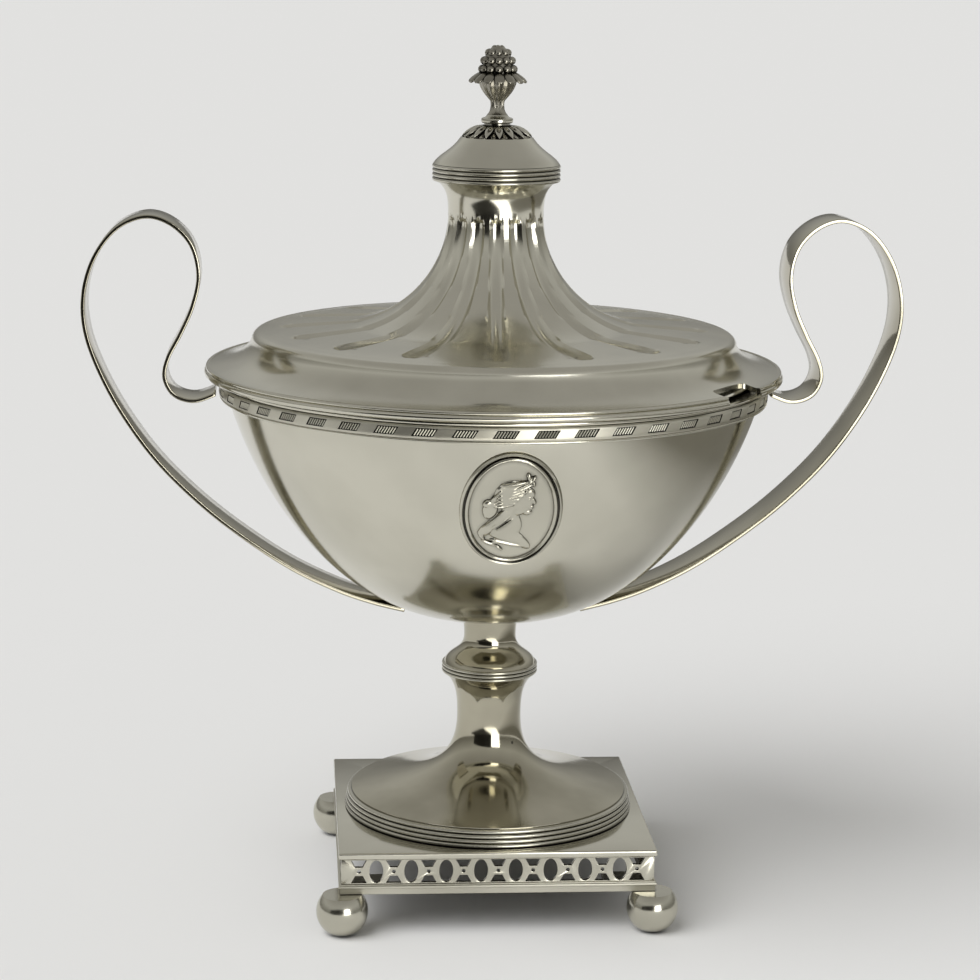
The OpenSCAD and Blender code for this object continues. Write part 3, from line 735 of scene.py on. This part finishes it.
# each row of grains is (ring radius, height, count, grain radius)
berry = {
    "rows": [(3.4, 167.8, 12, 0.96), (3.0, 169.65, 12, 0.92), (2.1, 171.35, 9, 0.88),
             (0.75, 172.3, 4, 0.72)],
    "core": [(0, 165.5), (3.7, 165.5), (3.6, 167.5), (3.3, 169.5), (2.5, 171.4), (1.4, 172.6),
             (0, 172.8)],
}
grains = [turned("berryCore", berry["core"], 48)]
for rowR, rowZ, count, grainR in berry["rows"]:
    for i in range(count):
        turn = 2 * pi * i / count - pi / 2
        grainPlace = Vector((rowR * cos(turn), rowR * sin(turn), rowZ + plateTop))
        allDeselected()
        bpy.ops.mesh.primitive_ico_sphere_add(subdivisions=3, radius=grainR / perMetre,
                                              location=grainPlace / perMetre)
        grains.append(applied(bpy.context.object))
berryPiece = smoothed(joined("finialBerry", grains), 60)
handOver(berryPiece, "lid", finialCast, "chased_silver", "finial_berry")
print("finial made")


# The medallions: an oval frame, a sunk field and a bust, front and rear.

medal = {"z": 79.8, "r": 53.3, "tilt": 26.0, "wide": 21.5, "long": 29.6, "rim": 2.1}
tilt = radians(90 + medal["tilt"])
upAxis = Vector((0, cos(tilt), sin(tilt)))
outAxis = Vector((0, -sin(tilt), cos(tilt)))


def wallRadius(z):
    for a, b in zip(bowlLine, bowlLine[1:]):
        if a[1] <= z <= b[1]:
            return a[0] + (b[0] - a[0]) * (z - a[1]) / (b[1] - a[1])
    return bowlLine[0][0] if z < bowlLine[0][1] else bowlLine[-1][0]


def onWall(x, y, height):
    # a point of the flat medallion, dropped on the bowl's wall and lifted off it again
    start = Vector((0, -medal["r"], medal["z"])) + Vector((x, 0, 0)) + upAxis * y
    low, high = -9.0, 9.0
    for _ in range(26):
        middle = (low + high) / 2
        p = start + outAxis * middle
        if p.xy.length < wallRadius(p.z):
            low = middle
        else:
            high = middle
    p = start + outAxis * low
    slope = (wallRadius(p.z + 0.3) - wallRadius(p.z - 0.3)) / 0.6
    normal = Vector((p.x / p.xy.length, p.y / p.xy.length, -slope)).normalized()
    return (p + normal * height + Vector((0, 0, plateTop))) / perMetre


def laidOnBowl(piece):
    for vertex in piece.data.vertices:
        x, y, height = vertex.co * perMetre
        vertex.co = onWall(x, y, height)
    return piece


# two raised oval lines with a groove between, on a band
medalProfile = [(0.0, 0.0), (-0.05, 0.3), (-0.2, 0.62), (-0.5, 0.85), (-0.78, 0.7), (-0.92, 0.34),
                (-1.08, 0.3), (-1.2, 0.62), (-1.45, 0.84), (-1.75, 0.84), (-1.95, 0.6),
                (-2.08, 0.2), (-2.1, 0.0)]
points = [Vector((medal["wide"] / 2 + a, 0, b)) / perMetre for a, b in medalProfile + [medalProfile[0]]]
oval = drawLine("medallionFrameFront", points)
bpy.ops.mesh.select_all(action="SELECT")
bpy.ops.mesh.spin(steps=160, angle=2 * pi, center=(0, 0, 0), axis=(0, 0, 1))
bpy.ops.mesh.select_all(action="SELECT")
bpy.ops.mesh.remove_doubles(threshold=mergeWithin)
bpy.ops.mesh.normals_make_consistent(inside=False)
bpy.ops.object.mode_set(mode="OBJECT")
for vertex in oval.data.vertices:
    # the band keeps its width while the circle is drawn out to an oval
    a = atan2(vertex.co.y, vertex.co.x)
    off = vertex.co.xy.length * perMetre - medal["wide"] / 2
    vertex.co.x = (medal["wide"] / 2 + off) * cos(a) / perMetre
    vertex.co.y = (medal["long"] / 2 + off) * sin(a) / perMetre
smoothed(laidOnBowl(oval), 50)

allDeselected()
bpy.ops.mesh.primitive_circle_add(vertices=96, radius=1, fill_type="TRIFAN")
field = bpy.context.object
field.name = "medallionFieldFront"
bpy.ops.object.mode_set(mode="EDIT")
bpy.ops.mesh.select_all(action="SELECT")
bpy.ops.mesh.subdivide(number_cuts=9)
bpy.ops.object.mode_set(mode="OBJECT")
for vertex in field.data.vertices:
    vertex.co.x *= (medal["wide"] / 2 - medal["rim"] + 0.1) / perMetre
    vertex.co.y *= (medal["long"] / 2 - medal["rim"] + 0.1) / perMetre
    vertex.co.z = 0.32 / perMetre
modified(field, "SOLIDIFY", thickness=0.3 / perMetre, offset=-1.0)
smoothed(laidOnBowl(field), 50)

# bust in low relief, looking towards +X: (x, y, half length, half width, height, turn in degrees)
bustShapes = {
    "skull": [(0.1, 4.3, 4.1, 3.9, 1.5, 60)],
    "face": [(2.3, 3.0, 3.5, 2.1, 1.35, 82), (3.5, 4.9, 1.4, 1.2, 1.2, 90), (4.45, 3.1, 1.05, 0.42, 1.0, 116),
             (4.6, 2.65, 0.42, 0.4, 1.0, 0), (4.05, 1.75, 0.55, 0.3, 1.0, 5), (4.0, 1.2, 0.5, 0.32, 0.95, -5),
             (3.3, 0.2, 0.95, 0.75, 1.1, 20), (1.9, 0.8, 2.0, 1.2, 1.2, 30), (2.5, 2.3, 1.3, 1.3, 1.45, 0),
             (3.55, 3.65, 0.42, 0.2, 1.35, 10), (3.5, 4.15, 0.7, 0.2, 1.4, 12)],
    "neck": [(0.5, -2.8, 3.3, 1.75, 1.0, 97), (-0.4, -4.2, 2.6, 2.1, 0.95, 110)],
    "chest": [(-1.0, -5.9, 4.4, 2.0, 1.0, -22), (2.3, -7.7, 3.1, 1.2, 0.95, -52),
              (0.6, -7.2, 3.4, 1.3, 0.9, -20)],
    "band": [(0.3, 7.5, 3.0, 0.45, 1.75, 9)],
    "bow": [(3.2, 9.1, 1.0, 0.5, 1.5, 100), (4.1, 8.5, 0.95, 0.45, 1.5, 55), (3.5, 8.0, 0.5, 0.5, 1.7, 0),
            (4.3, 7.3, 0.8, 0.3, 1.3, 100)],
    "bun": [(-4.4, 0.8, 2.5, 1.6, 1.5, 84), (-4.9, 2.3, 1.2, 1.0, 1.65, 40), (-3.7, 2.4, 1.0, 0.8, 1.6, 120),
            (-4.6, -0.4, 1.3, 1.1, 1.6, 60)],
    "veil": [(-2.5, -1.7, 4.9, 1.35, 1.35, 47), (-4.9, -4.6, 2.2, 1.3, 1.3, 52)],
    "drape": [(-0.2, -8.3, 4.3, 0.42, 1.3, -15), (-5.9, -6.4, 1.5, 0.45, 1.3, -62),
              (-4.2, -8.3, 1.9, 0.45, 1.25, -24),
              (-2.0, -9.7, 0.95, 0.35, 1.1, -48), (-2.6, -7.9, 1.2, 0.4, 1.2, 10)],
}
# hair: locks swept from the brow to the bun, and strands falling to the shoulder
locks = []
for i in range(7):
    t = i / 6
    locks.append((1.3 - 1.5 * t, 6.6 - 4.3 * t, 3.5 - 0.4 * t, 0.36, 1.8 - 0.1 * abs(i - 3), 24 - 9 * t))
for i in range(5):
    locks.append((-3.2 + 0.1 * i, 4.7 - 0.7 * i, 1.9, 0.3, 1.75, 50 - 14 * i))
for i in range(4):
    locks.append((2.6 - 0.75 * i, 5.6 - 0.95 * i, 0.95, 0.34, 1.8, 60 - 6 * i))
for i in range(4):
    locks.append((-3.5 + 0.75 * i, -1.5 - 0.45 * i, 4.4 - 0.4 * i, 0.26, 1.55, 49 - 2 * i))
bustShapes["hair"] = locks

# ten times its size while the lumps are melted together
melt = {"perUnit": 100, "voxel": 0.0014, "cutAt": 0.0005}
lumps = []
for shapes in bustShapes.values():
    for x, y, long, wide, high, turn in shapes:
        allDeselected()
        bpy.ops.mesh.primitive_uv_sphere_add(segments=20, ring_count=12, radius=1 / melt["perUnit"],
                                             location=(x / melt["perUnit"], y / melt["perUnit"], 0),
                                             scale=(long, wide, high), rotation=(0, 0, radians(turn)))
        lumps.append(applied(bpy.context.object))
bust = joined("medallionBustFront", lumps)
modified(bust, "REMESH", mode="VOXEL", voxel_size=melt["voxel"])
modified(bust, "SMOOTH", factor=0.5, iterations=2)
active(bust)
bpy.ops.object.mode_set(mode="EDIT")
bpy.ops.mesh.select_all(action="SELECT")
bpy.ops.mesh.bisect(plane_co=(0, 0, melt["cutAt"]), plane_no=(0, 0, 1), use_fill=True,
                    threshold=mergeWithin, clear_inner=True)
bpy.ops.object.mode_set(mode="OBJECT")
relief = {"lift": 0.3, "share": 0.48}
for vertex in bust.data.vertices:
    x, y, z = vertex.co * melt["perUnit"]
    vertex.co = Vector((x, y, relief["lift"] + relief["share"] * z)) / perMetre
smoothed(laidOnBowl(bust), 60)

for piece, part in ((oval, "frame"), (field, "field"), (bust, "bust")):
    other = copied(piece, pi)
    other.name = piece.name.replace("Front", "Rear")
    handOver(piece, "bowl", medalSilver, "chased_silver", "medallion_" + part + "_front")
    handOver(other, "bowl", medalSilver, "chased_silver", "medallion_" + part + "_rear")
print("medallions made")


# Studs, washers and nuts keep the frame's own shape.

for node in ("foot_stud", "foot_washer", "foot_nut", "finial_stud", "finial_washer", "finial_nut"):
    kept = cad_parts[node]
    kept.data.materials.clear()
    kept.data.materials.append(plain)


# The floor, the room, the lamps, the cards and the camera.

allDeselected()
bpy.ops.mesh.primitive_circle_add(vertices=128, radius=16, fill_type="NGON")
floor = bpy.context.object
floor.name = "floor"
paper = bpy.data.materials.new("matt_backdrop_paper")
paper.use_nodes = True
paperSurface = paper.node_tree.nodes["Principled BSDF"]
paperSurface.inputs["Base Color"].default_value = linear("#e6e6e6")
paperSurface.inputs["Roughness"].default_value = 0.9
paperSurface.inputs["Specular IOR Level"].default_value = 0.0
floor.data.materials.append(paper)

# a dim room that is lighter overhead; the backdrop seen past the floor stays pale
studio = {"pale": "#e0e0df", "low": "#82817c", "side": "#bfbfbc", "high": "#a6a5a2", "sun": 2.3}
world = bpy.data.worlds.new("studio")
bpy.context.scene.world = world
world.use_nodes = True
tree = world.node_tree
outward = add(tree, "ShaderNodeTexCoord").outputs["Generated"]
direction = add(tree, "ShaderNodeSeparateXYZ", links={"Vector": outward})
room = add(tree, "ShaderNodeValToRGB", links={"Fac": direction.outputs["Z"]})
room.color_ramp.elements[0].position = 0.05
room.color_ramp.elements[0].color = linear(studio["low"])
room.color_ramp.elements[1].position = 0.4
room.color_ramp.elements[1].color = linear(studio["side"])
room.color_ramp.elements.new(0.8).color = linear(studio["high"])
seen = add(tree, "ShaderNodeMix", {"data_type": "RGBA", 7: linear(studio["pale"])},
           {0: add(tree, "ShaderNodeLightPath").outputs["Is Camera Ray"], 6: room.outputs["Color"]})
tree.links.new(seen.outputs[2], tree.nodes["Background"].inputs["Color"])


def lamp(name, kind, place, target, **settings):
    data = bpy.data.lights.new(name, kind)
    for key, value in settings.items():
        setattr(data, key, value)
    light = bpy.data.objects.new(name, data)
    bpy.context.scene.collection.objects.link(light)
    light.location = place
    light.rotation_euler = (Vector(target) - Vector(place)).to_track_quat("-Z", "Y").to_euler()
    return light


overhead = lamp("overhead", "SUN", (-2.3, -1.5, 3), (0, 0, 0), energy=studio["sun"], angle=radians(55))
overhead.visible_glossy = False
window = lamp("window", "AREA", (0.38, -1.1, 0.2), (0, 0, 0.1), shape="RECTANGLE", size=0.55, size_y=0.5,
              energy=4)
window.visible_diffuse = False
window.visible_shadow = False


def card(name, corners, finish):
    # a studio card that is seen only in reflections
    points = [Vector(corner) for corner in corners]
    piece = drawLine(name, points)
    bpy.ops.mesh.select_all(action="SELECT")
    bpy.ops.mesh.edge_face_add()
    bpy.ops.object.mode_set(mode="OBJECT")
    piece.data.materials.append(finish)
    for kind in ("camera", "diffuse", "shadow"):
        setattr(piece, "visible_" + kind, False)


cloth = bpy.data.materials.new("black_flag_cloth")
cloth.use_nodes = True
clothSurface = cloth.node_tree.nodes["Principled BSDF"]
clothSurface.inputs["Base Color"].default_value = linear("#24231f")
clothSurface.inputs["Roughness"].default_value = 0.9
# a painted shadow: a floor card, seen only in reflections, dark where the bowl's shadow would fall on the
# table to its right; it darkens what the right side of the bowl sees
paintedShadowCard = bpy.data.materials.new("painted_shadow_card")
paintedShadowCard.use_nodes = True
place = add(paintedShadowCard.node_tree, "ShaderNodeTexCoord").outputs["Object"]
across = add(paintedShadowCard.node_tree, "ShaderNodeSeparateXYZ", links={"Vector": place})
fall = add(paintedShadowCard.node_tree, "ShaderNodeValToRGB", links={"Fac": across.outputs["X"]})
fall.color_ramp.elements[0].position = 0.1
fall.color_ramp.elements[0].color = linear("#e6e6e6")
fall.color_ramp.elements[1].position = 0.2
fall.color_ramp.elements[1].color = linear("#7d7b74")
paintedShadowSurface = paintedShadowCard.node_tree.nodes["Principled BSDF"]
paintedShadowCard.node_tree.links.new(fall.outputs["Color"], paintedShadowSurface.inputs["Base Color"])
paintedShadowSurface.inputs["Roughness"].default_value = 0.9
# the cards' corners, in metres
# the painted shadow card lies on the floor to the right of the bowl
card("paintedShadowRight", [(0.09, -0.7, 0.001), (0.9, -0.7, 0.001), (0.9, 0.7, 0.001), (0.09, 0.7, 0.001)], paintedShadowCard)
card("flagUpright", [(-1.3, -0.95, 0.0), (0.1, -0.95, 0.0), (0.1, -0.95, 0.4), (-1.3, -0.95, 0.4)], cloth)
card("flagLying", [(-0.5, -0.2, 0.002), (-0.09, -0.2, 0.002), (0.1, -0.94, 0.002), (-1.3, -0.94, 0.002)],
     cloth)
# a painted pool of light: a glowing card on the floor in front, seen only in reflections, standing in for the
# window's light on the table
paintedLightPool = bpy.data.materials.new("painted_light_pool_card")
paintedLightPool.use_nodes = True
paintedLightPoolSurface = paintedLightPool.node_tree.nodes["Principled BSDF"]
paintedLightPoolSurface.inputs["Base Color"].default_value = linear("#000000")
paintedLightPoolSurface.inputs["Emission Color"].default_value = linear("#fffdf6")
paintedLightPoolSurface.inputs["Emission Strength"].default_value = 2.6
card("paintedLightPoolLying", [(-0.08, -0.2, 0.002), (0.08, -0.2, 0.002), (0.62, -0.94, 0.002), (0.11, -0.94, 0.002)],
     paintedLightPool)

# the camera's place is in metres, its turns in degrees
view = {"lens": 98.8, "place": (-0.0455, -0.5938, 0.2135), "down": 11.5, "turn": -4.34, "roll": 0.81}
cameraData = bpy.data.cameras.new("camera")
cameraData.lens = view["lens"]
cameraData.sensor_width = 36
cameraData.clip_start = 0.01
cameraData.clip_end = 60
camera = bpy.data.objects.new("camera", cameraData)
bpy.context.scene.collection.objects.link(camera)
camera.matrix_world = (Matrix.Translation(view["place"]) @ Matrix.Rotation(radians(view["turn"]), 4, "Z")
                       @ Matrix.Rotation(radians(90 - view["down"]), 4, "X")
                       @ Matrix.Rotation(radians(view["roll"]), 4, "Z"))
bpy.context.scene.camera = camera
bpy.context.scene.view_settings.view_transform = "Standard"
print("stage set")
